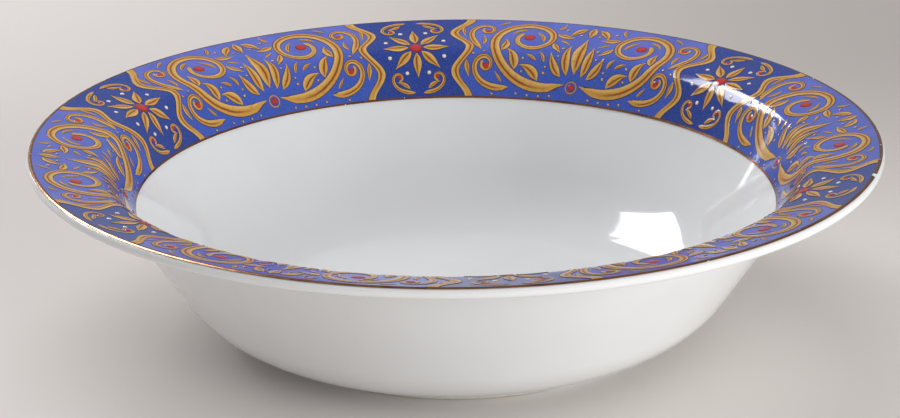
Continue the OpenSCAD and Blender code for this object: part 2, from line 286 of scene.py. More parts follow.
class Section:
    """Corners of the bowl's section and the stretch of its inside that the band covers"""

    def __init__(self, bowl):
        sizes = bowl.sizes
        band = bowl.band
        self.sizes = sizes
        fall = sizes.rim_fall
        steep = sizes.wall_slope
        rim_r = sizes.rim_d / 2
        self.rim_r = rim_r
        self.lip_r = LIP_SHARE * sizes.rim_t
        edge_z = sizes.bowl_h + self.lip_r * (1 / math.cos(fall) + math.tan(fall) - 1)
        under_z = edge_z - sizes.rim_t / math.cos(fall)
        shoulder = Vector((rim_r - sizes.rim_w, edge_z - sizes.rim_w * math.tan(fall)))
        floor_z = sizes.foot_h + sizes.base_t
        floor_corner = meet(shoulder, steep, Vector((0, floor_z)), 0)
        outer_wall = shoulder - left_of(steep) * sizes.wall_t
        root = meet(Vector((rim_r, under_z)), fall, outer_wall, steep)
        heel_z = sizes.foot_side + sizes.heel_w * math.tan(sizes.heel_rise)
        heel = meet(outer_wall, steep, Vector((0, heel_z)), 0)
        foot_top = Vector((heel.x - sizes.heel_w, sizes.foot_side))
        foot_out = foot_top.x - sizes.foot_lean
        foot_in = foot_out - sizes.foot_w
        self.corners = [
            (Vector((0, sizes.foot_h)), 0),
            (Vector((foot_in - sizes.foot_lean, sizes.foot_h)), sizes.foot_hollow_r),
            (Vector((foot_in, 0)), sizes.foot_edge_r),
            (Vector((foot_out, 0)), sizes.foot_edge_r),
            (foot_top, sizes.foot_hollow_r),
            (heel, sizes.heel_r),
            (root, sizes.root_r),
            (Vector((rim_r, under_z)), self.lip_r),
            (Vector((rim_r, edge_z)), self.lip_r),
            (shoulder, sizes.shoulder_r),
            (floor_corner, sizes.floor_r),
            (Vector((0, floor_z)), 0),
        ]
        shoulder_turn = steep - fall
        shoulder_cut = sizes.shoulder_r * math.tan(shoulder_turn / 2)
        lip_cut = self.lip_r * math.tan((math.pi / 2 + fall) / 2)
        self.wall_end = shoulder - shoulder_cut * heading_vector(steep)
        self.rim_start = shoulder + shoulder_cut * heading_vector(fall)
        self.shoulder_mid = self.rim_start - left_of(fall) * sizes.shoulder_r
        self.wall_len = (self.wall_end.y - sizes.bowl_h + band.band_depth) / math.sin(steep)
        self.arc_end = self.wall_len + sizes.shoulder_r * shoulder_turn
        self.width = self.arc_end + sizes.rim_w / math.cos(fall) - shoulder_cut - lip_cut
        self.middle_r = self.at(self.width / 2, 0).x
        self.pitch = 2 * math.pi / band.panels
        self.turn = band.pattern_turn + math.pi / 2
        self.field_w = self.pitch * self.middle_r - band.panel_w
        self.panel_w = band.panel_w
        self.panel_waist = band.panel_waist

    def at(self, s, lift):
        """Radius and height s up the band from the inner gilt line, lifted off the glaze"""
        sizes = self.sizes
        if s <= self.wall_len:
            a = sizes.wall_slope
            return self.wall_end + heading_vector(a) * (s - self.wall_len) + left_of(a) * lift
        if s >= self.arc_end:
            a = sizes.rim_fall
            return self.rim_start + heading_vector(a) * (s - self.arc_end) + left_of(a) * lift
        a = sizes.wall_slope - (s - self.wall_len) / sizes.shoulder_r
        return self.shoulder_mid + left_of(a) * (sizes.shoulder_r + lift)

    def place(self, x, y, lift, turn):
        """Pattern point x along and y up, set on the band"""
        return turned(self.at(y, lift), turn - x / self.middle_r)

    def lip(self, width, lift):
        """Points over the rounded lip, outward from the end of the band"""
        middle = Vector((self.rim_r - self.lip_r, self.sizes.bowl_h - self.lip_r))
        start = math.pi / 2 + self.sizes.rim_fall
        sweep = width / self.lip_r
        steps = arc_steps(sweep, self.lip_r)
        turns = [start - sweep * i / steps for i in range(steps + 1)]
        return [middle + heading_vector(a) * (self.lip_r + lift) for a in turns]

    def panel_turn(self, k):
        return self.turn + self.pitch * k

    def field_turn(self, k):
        return self.panel_turn(k) + self.pitch / 2

    def panel_half(self, y):
        """Half width of a panel at height y on the band"""
        waist = self.panel_waist * (1 - math.cos(2 * math.pi * WAISTS * y / self.width)) / 2
        return self.panel_w / 2 - waist


# Meshes

# Steps round the bowl, radius below which a point is on the axis, and turn of a sharp edge
ROUND_STEPS = 288
ON_AXIS = 0.0001 * MM
SHARP = math.radians(40)


class Shape:
    """Points, faces and stroke values of one piece while it is drawn"""

    def __init__(self):
        self.points = []
        self.faces = []
        self.across = []
        self.along = []
        self.half = []

    def add(self, points, across=0.0, along=0.0, half=0.0):
        first = len(self.points)
        self.points += points
        for values, value in ((self.across, across), (self.along, along), (self.half, half)):
            values.extend(value if isinstance(value, list) else [value] * len(points))
        return first

    def lathe(self, section):
        """A closed section turned about Z"""
        rings = []
        for spot in section:
            if spot.x < ON_AXIS:
                rings.append([self.add([Vector((0, 0, spot.y))])] * ROUND_STEPS)
                continue
            first = self.add([turned(spot, a) for a in even_turns(ROUND_STEPS)])
            rings.append(range(first, first + ROUND_STEPS))
        for low, high in zip(rings, rings[1:] + rings[:1]):
            for j in range(ROUND_STEPS):
                n = (j + 1) % ROUND_STEPS
                face = list(dict.fromkeys((low[j], low[n], high[n], high[j])))
                if len(face) > 2:
                    self.faces.append(face)

    def slab(self, top, bottom, across, along, half, wrap=False):
        """A closed sheet between two grids of points, with the values of its strokes"""
        rows = len(top)
        columns = len(top[0])
        flat = [[value for row in grid for value in row] for grid in (across, along, half)]
        upper = self.add([p for row in top for p in row], *flat)
        lower = self.add([p for row in bottom for p in row], *flat)
        spans = rows if wrap else rows - 1
        for i in range(spans):
            a = i * columns
            b = (i + 1) % rows * columns
            for j in range(columns - 1):
                near = a + j
                far = b + j
                self.faces.append([upper + near, upper + near + 1, upper + far + 1, upper + far])
                self.faces.append([lower + near, lower + far, lower + far + 1, lower + near + 1])
            for j, (p, q) in ((0, (b, a)), (columns - 1, (a, b))):
                self.faces.append([lower + p + j, lower + q + j, upper + q + j, upper + p + j])
        if not wrap:
            for a, order in ((0, 1), (spans * columns, -1)):
                there = [upper + a + j for j in range(columns)]
                back = [lower + a + j for j in reversed(range(columns))]
                self.faces.append((there + back)[::-order])

    def piece(self, name, material, slot, *nodes):
        """The finished piece, riding on the bowl in place of the named nodes"""
        mesh = bpy.data.meshes.new(name)
        mesh.from_pydata(self.points, [], self.faces)
        mesh.validate()
        for title, values in (("across", self.across), ("along", self.along), ("half", self.half)):
            if any(values):
                mesh.attributes.new(title, "FLOAT", "POINT").data.foreach_set("value", values)
        mesh.shade_smooth()
        mesh.set_sharp_from_angle(angle=SHARP)
        mesh.materials.append(material)
        piece = bpy.data.objects.new(name, mesh)
        bpy.context.scene.collection.objects.link(piece)
        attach(piece, BODY)
        if nodes:
            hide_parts(*nodes)


# Strokes of the pattern

# A stroke sets out from its root at a heading, and turns by its bend and curl, in degrees
Stroke = namedtuple("Stroke", "x y heading length bend curl width kind")
STEM = 0
LEAF = 1

# Steps along a stroke, and the power that draws those of a stem together towards its curl
STEM_STEPS = 64
LEAF_STEPS = 16
CURL_POWER = 0.65

# A stem: width lost by its end, width at its root, length of its swelling, blunt end of its caps
TAPER_SHARE = 0.6
ROOT_SHARE = 0.55
SWELL_SHARE = 0.15
CAP_END = 0.02

# A leaf: power that sets its widest part beyond the middle, and width of its tip
LEAF_POWER = 0.75
TIP_SHARE = 0.06

# Stem width whose curl has a berry of the usual size, and the gap between a drop and its strokes
MIDDLING_W = 3
EYE_GAP = 0.3 * MM

# Width and height of the sheet on which half a field is drawn
SHEET = Vector((40, 37))

# Half a field between two panels, on its sheet
HALF_FIELD = [
    Stroke(3.2, 6.2, -22, 92, 225, 300, 4.6, STEM),
    Stroke(24.8, 4, -10, 34, 100, 420, 3, STEM),
    Stroke(35.9, 17.4, 56, 30, 50, 400, 2.8, STEM),
    Stroke(14, 6.8, 66, 9.4, -60, 0, 3.8, LEAF),
    Stroke(23.3, 10.4, 98, 8.6, -60, 0, 3.8, LEAF),
    Stroke(28.5, 17.3, 127, 7, -60, 0, 3.2, LEAF),
    Stroke(10.8, 22.8, 245, 6.4, -20, 0, 2.6, LEAF),
    Stroke(10.9, 29, 208, 6.8, -30, 0, 2.8, LEAF),
    Stroke(2.9, 9.4, 70, 13, 30, 0, 3.6, LEAF),
    Stroke(5.2, 8.8, 40, 10, 40, 0, 3.4, LEAF),
    Stroke(2.2, 34, -34, 7, -36, 0, 3, LEAF),
    Stroke(41.1, 13.4, -92, 6.2, -14, 0, 2.2, LEAF),
]

# Leaves and berry in the middle of a field, on its sheet
MIDDLE_LEAVES = [
    Stroke(0, 10.2, 90, 17, 0, 0, 4.8, LEAF),
    Stroke(0, 35, -90, 6.6, 0, 0, 3.2, LEAF),
]
MIDDLE_BERRY = Vector((0, 5.4))

# Thin leaves in the gaps of half a field, on its sheet
FILIGREE = [
    Stroke(12.3, 13.4, 80, 4.6, -40, 0, 1.6, LEAF),
    Stroke(15.4, 13.9, 42, 4.4, -30, 0, 1.5, LEAF),
    Stroke(14.6, 23.6, 86, 7.2, -52, 0, 1.7, LEAF),
    Stroke(21.2, 30.6, -5, 6, -60, 0, 1.6, LEAF),
    Stroke(35.5, 20.2, 116, 5.8, -50, 0, 1.7, LEAF),
    Stroke(11.4, 32.2, 132, 4.6, -40, 0, 1.6, LEAF),
    Stroke(27.4, 35.5, -22, 4.4, -20, 0, 1.3, LEAF),
    Stroke(42.3, 31.8, -88, 6, -14, 0, 1.6, LEAF),
    Stroke(27.7, 5.9, 48, 4.4, 10, 0, 1.3, LEAF),
    Stroke(8.6, 25, 200, 4.4, 30, 0, 1.4, LEAF),
]

# Places of the gold dots in the gaps of half a field, on its sheet, each with its radius
FIELD_DOTS = [
    (6.4, 20, 0.6), (7.3, 15.9, 0.4), (3.1, 29.6, 0.5), (8.3, 32.3, 0.6), (34.6, 16.6, 0.45),
    (38.6, 15.6, 0.5), (20.3, 9.7, 0.5), (20.2, 14.3, 0.5), (11.8, 9.6, 0.6), (11.5, 11.8, 0.45),
    (8, 1.8, 0.5), (12.5, 1.5, 0.5), (17, 1.5, 0.5), (21.5, 1.9, 0.5), (31, 1.5, 0.5),
]

# Curl and leaf in each corner of a panel, in mm from its middle
CORNER_STROKES = [
    Stroke(1.5, 16.2, -2, 17, -50, -320, 1.9, STEM),
    Stroke(3.4, 14.8, -50, 5, 40, 0, 1.7, LEAF),
]


def heading(stroke, t):
    return math.radians(stroke.heading + stroke.bend * t + stroke.curl * t**3)


def stroke_width(stroke, t):
    """Width of a stem, which swells and then thins into its curl, or of a pointed leaf"""
    if stroke.kind == LEAF:
        return stroke.width * max(TIP_SHARE, math.sin(math.pi * t**LEAF_POWER))
    swell = ROOT_SHARE + (1 - ROOT_SHARE) * min(1, t / SWELL_SHARE)
    return stroke.width * (1 - TAPER_SHARE * t) * swell


def section_shares(stroke):
    """Shares of a stroke's length at which it is cut, closer together towards the end of a curl"""
    if stroke.kind == LEAF:
        return [i / LEAF_STEPS for i in range(LEAF_STEPS + 1)]
    return [(i / STEM_STEPS)**CURL_POWER for i in range(STEM_STEPS + 1)]


def middle_line(stroke):
    """Points of a stroke's middle line"""
    points = [Vector((stroke.x, stroke.y))]
    shares = section_shares(stroke)
    for t0, t1 in zip(shares, shares[1:]):
        way = heading_vector(heading(stroke, (t0 + t1) / 2))
        points.append(points[-1] + stroke.length * (t1 - t0) * way)
    return points


def cap_share(stroke, t):
    """Share of the width that is left where a stem's ends are rounded"""
    if stroke.kind == LEAF:
        return 1
    share = 1
    for end in (0, 1):
        reach = stroke_width(stroke, end) / 2 / stroke.length
        depth = 1 - abs(t - end) / reach
        if depth > 0:
            share = math.sqrt(max(CAP_END, 1 - depth**2))
    return share


def flipped(stroke):
    """The stroke turned over top to bottom"""
    return stroke._replace(
        y=-stroke.y, heading=-stroke.heading, bend=-stroke.bend, curl=-stroke.curl
    )


def raised(stroke, height):
    return stroke._replace(y=stroke.y + height)


def stretched(point, stretch):
    return Vector((point.x * stretch.x, point.y * stretch.y))


def eye(stroke, stretch, radius):
    """Point just inside the end of a curl"""
    a = heading(stroke, 1) + math.copysign(math.pi / 2, stroke.curl)
    away = radius + stroke_width(stroke, 1) * stretch.y / 2 + EYE_GAP
    return stretched(middle_line(stroke)[-1], stretch) + away * heading_vector(a)


# Shader nodes

class Socket:
    """One output of a shader node. Arithmetic on it adds Math nodes"""

    def __init__(self, nodes, output):
        self.nodes = nodes
        self.output = output

    def __add__(self, other):
        return self.nodes.math("ADD", self, other)

    def __radd__(self, other):
        return self.nodes.math("ADD", other, self)

    def __sub__(self, other):
        return self.nodes.math("SUBTRACT", self, other)

    def __rsub__(self, other):
        return self.nodes.math("SUBTRACT", other, self)

    def __mul__(self, other):
        return self.nodes.math("MULTIPLY", self, other)

    def __rmul__(self, other):
        return self.nodes.math("MULTIPLY", other, self)

    def __abs__(self):
        return self.nodes.math("ABSOLUTE", self)


class Nodes:
    """A node tree under construction"""

    def __init__(self, tree):
        self.tree = tree
        self.tree.nodes.clear()

    def node(self, kind, options=None, inputs=None, output=0):
        """Any node: its settings first, then the values or links of its sockets"""
        node = self.tree.nodes.new(kind)
        for key, value in (options or {}).items():
            setattr(node, key, value)
        for key, value in (inputs or {}).items():
            if isinstance(value, Socket):
                self.tree.links.new(value.output, node.inputs[key])
            else:
                node.inputs[key].default_value = value
        return Socket(self, node.outputs[output]) if node.outputs else None

    def math(self, operation, *values):
        return self.node("ShaderNodeMath", {"operation": operation}, dict(enumerate(values)))

    def vector_math(self, operation, *values, output="Vector"):
        options = {"operation": operation}
        return self.node("ShaderNodeVectorMath", options, dict(enumerate(values)), output)

    def step(self, value, low, high):
        """0 below low, 1 above high and a smooth rise between them"""
        options = {"interpolation_type": "SMOOTHSTEP"}
        inputs = {"Value": value, "From Min": low, "From Max": high}
        return self.node("ShaderNodeMapRange", options, inputs)

    def mix(self, factor, first, second):
        """Blend of two colours"""
        colours = [c if isinstance(c, Socket) else (*c, 1) for c in (first, second)]
        inputs = {0: factor, 6: colours[0], 7: colours[1]}
        return self.node("ShaderNodeMix", {"data_type": "RGBA"}, inputs, 2)


class Finish(Nodes):
    """A material under construction"""

    def __init__(self, name):
        self.material = bpy.data.materials.new(name)
        self.material.use_nodes = True
        super().__init__(self.material.node_tree)
        self.position = self.node("ShaderNodeTexCoord", output="Object")

    def attribute(self, name):
        return self.node("ShaderNodeAttribute", {"attribute_name": name}, output="Fac")

    def noise(self, size, detail=2.0):
        """Soft noise whose features are about the given size"""
        inputs = {"Vector": self.position, "Scale": 1 / size, "Detail": detail}
        return self.node("ShaderNodeTexNoise", inputs=inputs)

    def specks(self, spacing, radius, share):
        """Mask of small round specks, in a share of the cells of a loose grid"""
        inputs = {"Vector": self.position, "Scale": 1 / spacing}
        distance = self.node("ShaderNodeTexVoronoi", inputs=inputs)
        tint = self.node("ShaderNodeTexVoronoi", inputs=inputs, output="Color")
        chance = self.node("ShaderNodeSeparateColor", inputs={0: tint})
        near = 1 - self.step(distance, 0.5 * radius / spacing, radius / spacing)
        return near * self.math("LESS_THAN", chance, share)

    def distance_to(self, point):
        return self.vector_math("DISTANCE", self.position, point, output="Value")

    def bump(self, height, depth):
        return self.node("ShaderNodeBump", inputs={"Height": height, "Distance": depth})

    def band_bump(self, height, depth):
        """A bump on the band, whose shading is tipped a little further in than the mesh"""
        level = self.vector_math("MULTIPLY", self.position, (1, 1, 0))
        away = self.vector_math("LENGTH", level, output="Value")
        return self.bump(depth * height + math.tan(BAND_TIP) * away, 1.0)

    def shade(self, inputs):
        """The finished material, with these sockets of its shader set"""
        shader = self.node("ShaderNodeBsdfPrincipled", inputs=inputs)
        self.node("ShaderNodeOutputMaterial", inputs={"Surface": shader})
        return self.material


# Finishes

GLAZE_IOR = 1.56
ENAMEL_IOR = 1.5

# Tip of the band's shading
BAND_TIP = math.radians(0.8)

# Outline of a gold stroke: its width in mm, and its greatest share of half a thin stroke
OUTLINE_W = 0.3
OUTLINE_SHARE = 0.4

# Colour of a red drop at its edge, as a share of its own
RED_EDGE_SHARE = 0.4

# Nick in the gilt edge: its radius, its soft border and its raggedness
NICK_R = 1.6 * MM
NICK_BORDER = 0.3 * MM
NICK_RAG = 2.4 * MM

# Stretches over which painted shade darkens the paper behind on the right and greys it on the
# left, in metres to the right of the bowl or behind it
SHADE_RIGHT = (-0.35, 0.2)
SHADE_BEHIND = (-0.15, 0.3)
CLEAR_RIGHT = (-0.3, 0.1)
CLEAR_BEHIND = (-0.35, -0.05)


def darker(tint, share):
    return [share * part for part in tint]


def glaze_finish(colours):
    """White glaze with faint clouds, a few pinhead specks and a slow ripple"""
    finish = Finish("white_glaze")
    clouds = finish.step(finish.noise(35 * MM), 0.3, 0.75)
    base = finish.mix(clouds, colours.glaze, darker(colours.glaze, 0.965))
    specks = finish.specks(spacing=12 * MM, radius=0.22 * MM, share=0.1)
    base = finish.mix(specks * 0.5, base, colours.outline)
    ripple = finish.noise(22 * MM, 1.0)
    return finish.shade({
        "Base Color": base,
        "Roughness": 0.05 + 0.05 * finish.noise(6 * MM),
        "IOR": GLAZE_IOR,
        "Normal": finish.bump(ripple, 0.06 * MM),
    })


def bisque_finish(colours):
    """Bare porcelain, matt and finely grained"""
    finish = Finish("bare_porcelain")
    grain = finish.noise(0.6 * MM, 4.0)
    base = finish.mix(finish.step(grain, 0.3, 0.7), colours.bisque, darker(colours.bisque, 0.86))
    return finish.shade({
        "Base Color": base,
        "Roughness": 0.6 + 0.2 * grain,
        "Normal": finish.bump(grain, 0.08 * MM),
    })


def print_finish(name, low, high):
    """Printed colour, clouded and finely grained, lightened by painted sheen up the band towards
    the rim edge where its low and high colours differ
    """
    finish = Finish(name)
    up = finish.attribute("along")
    # Painted sheen: the colour goes from low to high up the band, lighter towards the rim edge
    base = finish.mix(finish.step(up, 0.15, 0.8), low, high)
    clouds = finish.step(finish.noise(14 * MM), 0.35, 0.7) * 0.4
    base = finish.mix(clouds, base, darker(low, 0.86))
    grain = finish.step(finish.noise(0.3 * MM, 3.0), 0.42, 0.62)
    base = finish.mix(grain * 0.04, base, [1, 1, 1])
    return finish.shade({
        "Base Color": base,
        "Roughness": 0.06 + 0.07 * finish.noise(4 * MM),
        "IOR": ENAMEL_IOR,
        "Normal": finish.band_bump(finish.noise(20 * MM, 1.0), 0.05 * MM),
    })


def gold_finish(name, colours):
    """Gold enamel strokes with a light side, a brown shading line and a dark outline"""
    finish = Finish(name)
    across = finish.attribute("across")
    along = finish.attribute("along")
    half = finish.attribute("half")
    wander = 0.3 * (finish.noise(3 * MM) - 0.5)
    edge = (1 - abs(across)) * half
    light = finish.step(across + wander, 0.2, 0.62) * 0.75
    base = finish.mix(light, colours.gold, colours.gold_light)
    line = 1 - finish.step(abs(across + 0.16 + wander), 0.1, 0.28)
    line = line * finish.step(along, 0.04, 0.2) * (1 - finish.step(along, 0.78, 0.95))
    base = finish.mix(line * 0.95, base, colours.gold_shade)
    mottle = finish.step(finish.noise(1.2 * MM, 3.0), 0.5, 0.75)
    base = finish.mix(mottle * 0.3, base, colours.gold_shade)
    rim = finish.math("MINIMUM", OUTLINE_W, half * OUTLINE_SHARE)
    base = finish.mix(1 - finish.step(edge, 0.35 * rim, rim), base, colours.outline)
    return finish.shade({
        "Base Color": base,
        "Roughness": 0.1 + 0.1 * finish.noise(2 * MM),
        "IOR": ENAMEL_IOR,
        "Normal": finish.band_bump(finish.noise(1.5 * MM), 0.02 * MM),
    })


def drop_finish(name, tint, shade):
    """A drop of glossy enamel, deeper in colour at its edge"""
    finish = Finish(name)
    rim = finish.step(finish.attribute("across"), 0.55, 1)
    base = finish.mix(rim * 0.8, tint, shade)
    mottle = finish.step(finish.noise(0.8 * MM), 0.5, 0.8)
    base = finish.mix(mottle * 0.25, base, shade)
    return finish.shade({
        "Base Color": base,
        "Roughness": 0.06 + 0.06 * finish.noise(2 * MM),
        "IOR": ENAMEL_IOR,
    })


def gilt_finish(colours, nick):
    """Burnished gilding, brushed thin in places and worn through at a nick in the edge"""
    finish = Finish("burnished_gilding")
    thin = finish.step(finish.noise(5 * MM, 4.0), 0.42, 0.72)
    base = finish.mix(0.3 + 0.6 * thin, colours.gilt, colours.gilt_thin)
    ragged = finish.distance_to(nick) + NICK_RAG * (finish.noise(1.8 * MM) - 0.5)
    pits = finish.step(finish.noise(1.6 * MM, 4.0), 0.7, 0.75)
    nicked = 1 - finish.step(ragged, NICK_R - NICK_BORDER, NICK_R)
    worn = finish.math("MAXIMUM", nicked, pits)
    return finish.shade({
        "Base Color": finish.mix(worn, base, colours.glaze),
        "Metallic": 1 - worn,
        "Roughness": 0.12 + 0.16 * finish.noise(3 * MM),
    })


def floor_finish(stage):
    """Pale seamless paper, with painted shade that greys it on the left and darkens it behind the
    bowl on the right
    """
    finish = Finish("pale_floor")
    right = finish.node("ShaderNodeSeparateXYZ", inputs={0: finish.position}, output="X")
    away = finish.node("ShaderNodeSeparateXYZ", inputs={0: finish.position}, output="Y")
    # Painted shade: masks for the darkened stretch behind on the right and the greyed left
    shade = finish.step(right, *SHADE_RIGHT) * finish.step(away, *SHADE_BEHIND)
    near = 1 - finish.step(away, *CLEAR_BEHIND)
    clear = finish.math("MAXIMUM", finish.step(right, *CLEAR_RIGHT), near)
    base = finish.mix(clear, stage.floor_left_painted_shade, stage.floor)
    base = finish.mix(shade, base, stage.floor_far_painted_shade)
    base = finish.mix(finish.noise(0.25) * 0.1, base, stage.floor_far_painted_shade)
    return finish.shade({
        "Base Color": base,
        "Roughness": 0.7 + 0.2 * finish.noise(0.05),
        "Specular IOR Level": 0,
    })


# Making the pieces

# Mesh of the printed sheets and steps across the inner gilt line
GRID_STEP = 1.2 * MM
LINE_STEPS = 4

# Places across a stroke, from one edge at -1 to the other at 1
ACROSS_STEPS = 4
COLUMNS = [2 * j / ACROSS_STEPS - 1 for j in range(ACROSS_STEPS + 1)]

# Height of strokes and of thin leaves in the enamel's thickness, and their fall to the edges
FIRED_SHARE = 0.6
FILIGREE_SHARE = 0.45
CROWN_SHARE = 0.4

# A drop: its rings and spokes, the first ring about its middle and the height of its edge
DROP_RINGS = 5
DROP_SPOKES = 20
DROP_EYE = 0.02
DROP_EDGE = 0.15

# The ring round the middle berry, whose gold is that of the middle of a stroke
RING_SPOKES = 32
RING_SHARE = 0.5
RING_GAP = 0.8 * MM
RING_W = 0.6 * MM

# A rosette: width of the petals in their ring, place of the pearls and their size beside a berry
PETAL_SHARE = 0.75
PEARL_SHARE = 0.92
PEARL_R_SHARE = 0.55


def kept_finish(name, make, *values):
    """A finish that several pieces share, made once"""
    return bpy.data.materials.get(name) or make(name, *values)


def gold():
    return kept_finish("shaded_gold", gold_finish, settings().colours)


def red():
    tint = settings().colours.red
    return kept_finish("red_drops", drop_finish, tint, darker(tint, RED_EDGE_SHARE))


class Layers:
    """Lifts of the layers off the glaze. The enamel is fired flat onto the printed colours"""

    def __init__(self, band):
        base = band.seat + band.ground_t
        self.ground = (band.seat, base)
        self.enamel = (base, base + FIRED_SHARE * band.enamel_t)
        self.filigree = (base, base + FILIGREE_SHARE * band.enamel_t)
        self.drop = (base, base + band.enamel_t)


def band_rows(low, high, step):
    """Heights up the band, no further apart than the step"""
    count = math.ceil((high - low) / step)
    return [low + (high - low) * i / count for i in range(count + 1)]


def on_band(section, rows, lifts, turn):
    """Rows of pattern points set on the band, each column at its own lift"""
    return [[section.place(p.x, p.y, lift, turn) for p, lift in zip(row, lifts)] for row in rows]


def draw_sheet(shape, section, band, sides, width, turn):
    """A sheet of printed colour between two sides, each a function of the height up the band"""
    heights = band_rows(band.inner_line_w, section.width, GRID_STEP)
    columns = math.ceil(width / GRID_STEP)
    shares = [j / columns for j in range(columns + 1)]
    rows = []
    for y in heights:
        left, right = (side(y) for side in sides)
        rows.append([Vector((left + (right - left) * t, y)) for t in shares])
    base, top = Layers(band).ground
    upper = on_band(section, rows, [top] * len(shares), turn)
    lower = on_band(section, rows, [base] * len(shares), turn)
    along = [[y / section.width] * len(shares) for y in heights]
    none = [[0.0] * len(shares)] * len(rows)
    shape.slab(upper, lower, none, along, none)


def draw_drop(shape, section, spot, radius, turn, lifts):
    """A round drop of enamel with a domed top"""
    base, top = lifts
    shares = [(i + DROP_EYE) / (DROP_RINGS + DROP_EYE) for i in range(DROP_RINGS + 1)]
    domes = [DROP_EDGE + (1 - DROP_EDGE) * math.sqrt(1 - t * t) for t in shares]
    domed = [base + (top - base) * dome for dome in domes]
    rows = []
    for a in even_turns(DROP_SPOKES):
        rows.append([spot + heading_vector(a) * radius * t for t in shares])
    upper = on_band(section, rows, domed, turn)
    lower = on_band(section, rows, [base] * len(shares), turn)
    flat = [[0.0] * len(shares)] * DROP_SPOKES
    wide = [[radius / MM] * len(shares)] * DROP_SPOKES
    shape.slab(upper, lower, [shares] * DROP_SPOKES, flat, wide, wrap=True)


def draw_ribbon(shape, section, rows, turn, lifts, along, halves, side=1, wrap=False):
    """A closed ribbon of enamel on the band, crowned along its middle. The side mirrors it"""
    base, top = lifts
    columns = [-side * c for c in COLUMNS]
    crowned = [top - CROWN_SHARE * (top - base) * c * c for c in columns]
    sided = [[Vector((side * p.x, p.y)) for p in row[::-side]] for row in rows]
    upper = on_band(section, sided, crowned, turn)
    lower = on_band(section, sided, [base] * len(columns), turn)
    spread = [[[value] * len(columns) for value in values] for values in (along, halves)]
    shape.slab(upper, lower, [columns] * len(rows), *spread, wrap)


def draw_stroke(shape, section, stroke, turn, stretch, lifts, side=1):
    """A stem or leaf laid on the band"""
    shares = section_shares(stroke)
    halves = [stroke_width(stroke, t) * cap_share(stroke, t) / 2 for t in shares]
    rows = []
    for t, middle, half in zip(shares, middle_line(stroke), halves):
        normal = left_of(heading(stroke, t))
        rows.append([stretched(middle + normal * half * c, stretch) for c in COLUMNS])
    real = [half * stretch.y / MM for half in halves]
    draw_ribbon(shape, section, rows, turn, lifts, shares, real, side)


def draw_eye(shape, section, band, stroke, turn, stretch, side):
    """The berry in the eye of a curl, which grows with the stem"""
    radius = band.berry_r * stroke.width / MIDDLING_W
    spot = eye(stroke, stretch, radius)
    spot.x *= side
    draw_drop(shape, section, spot, radius, turn, Layers(band).drop)


def draw_frame(shape, section, band, turn, side):
    """A gold frame up one side of a panel, astride its edge"""
    heights = band_rows(band.inner_line_w, section.width, GRID_STEP / 2)
    half = band.frame_w / 2
    rows = [[Vector((section.panel_half(y) - half * c, y)) for c in COLUMNS] for y in heights]
    along = [(y - heights[0]) / (heights[-1] - heights[0]) for y in heights]
    halves = [half / MM] * len(rows)
    draw_ribbon(shape, section, rows, turn, Layers(band).enamel, along, halves, side)


def draw_ring(shape, section, spot, radius, width, turn, lifts):
    """A gold ring round a drop"""
    half = width / 2
    rows = []
    for a in even_turns(RING_SPOKES):
        rows.append([spot + heading_vector(a) * (radius - half * c) for c in COLUMNS])
    along = [RING_SHARE] * RING_SPOKES
    halves = [half / MM] * RING_SPOKES
    draw_ribbon(shape, section, rows, turn, lifts, along, halves, wrap=True)


def above_wipe(points, height):
    """The stretches of a section inside and outside the foot ring, above its bare strip"""
    inside = []
    outside = []
    run = inside
    for p, q in zip(points, points[1:]):
        if p.y >= height:
            run.append(p)
        if (p.y - height) * (q.y - height) < 0:
            run = outside
            crossing = p + (q - p) * (height - p.y) / (q.y - p.y)
            (inside if q.y < height else outside).append(crossing)
    outside.append(points[-1])
    return inside, outside


class BOWL_OT_glaze(bpy.types.Operator):
    """Makes the glaze over the porcelain and finishes the bare foot"""

    bl_idname = "bowl.glaze"
    bl_label = "Glazed bowl"

    def execute(self, context):
        bowl = settings()
        section = Section(bowl)
        sizes = bowl.sizes
        skin = outline(section.corners)
        under = outline(inset(section.corners, sizes.glaze_t))
        shape = Shape()
        for outer, inner in zip(above_wipe(skin, sizes.wipe_h), above_wipe(under, sizes.wipe_h)):
            shape.lathe(outer + inner[::-1])
        shape.piece("bowl_glaze", glaze_finish(bowl.colours), "glaze", "glaze_coat")
        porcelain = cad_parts["porcelain_body"]
        porcelain.data.materials.clear()
        porcelain.data.materials.append(bisque_finish(bowl.colours))
        return {"FINISHED"}


class BOWL_OT_gilding(bpy.types.Operator):
    """Makes the gilt edge and the gilt line inside the band"""

    bl_idname = "bowl.gilding"
    bl_label = "Gilt lines"

    def execute(self, context):
        bowl = settings()
        band = bowl.band
        section = Section(bowl)
        low, high = Layers(band).ground
        stops = band_rows(0, band.inner_line_w, band.inner_line_w / LINE_STEPS)
        inner_low, inner_high = ([section.at(s, lift) for s in stops] for lift in (low, high))
        edge_low, edge_high = (section.lip(band.edge_line_w, lift) for lift in (low, high))
        gilding = gilt_finish(bowl.colours, turned(edge_high[-1], band.nick_turn))
        inner = Shape()
        inner.lathe(inner_low + inner_high[::-1])
        inner.piece("inner_gilding", gilding, "gilding", "inner_gilt_line")
        edge = Shape()
        edge.lathe(edge_low + edge_high[::-1])
        edge.piece("edge_gilding", gilding, "gilding", "edge_gilt_line")
        return {"FINISHED"}


class BOWL_OT_ground(bpy.types.Operator):
    """Makes the blue ground between the panels"""

    bl_idname = "bowl.ground"
    bl_label = "Blue ground"

    def execute(self, context):
        bowl = settings()
        band = bowl.band
        section = Section(bowl)
        span = section.pitch * section.middle_r / 2
        sides = (lambda y: section.panel_half(y) - span, lambda y: span - section.panel_half(y))
        shape = Shape()
        for k in range(band.panels):
            draw_sheet(shape, section, band, sides, section.field_w, section.field_turn(k))
        finish = print_finish("printed_ground", bowl.colours.ground_low, bowl.colours.ground_top_painted_sheen)
        shape.piece("blue_ground", finish, "ground_blue", "ground_band")
        return {"FINISHED"}


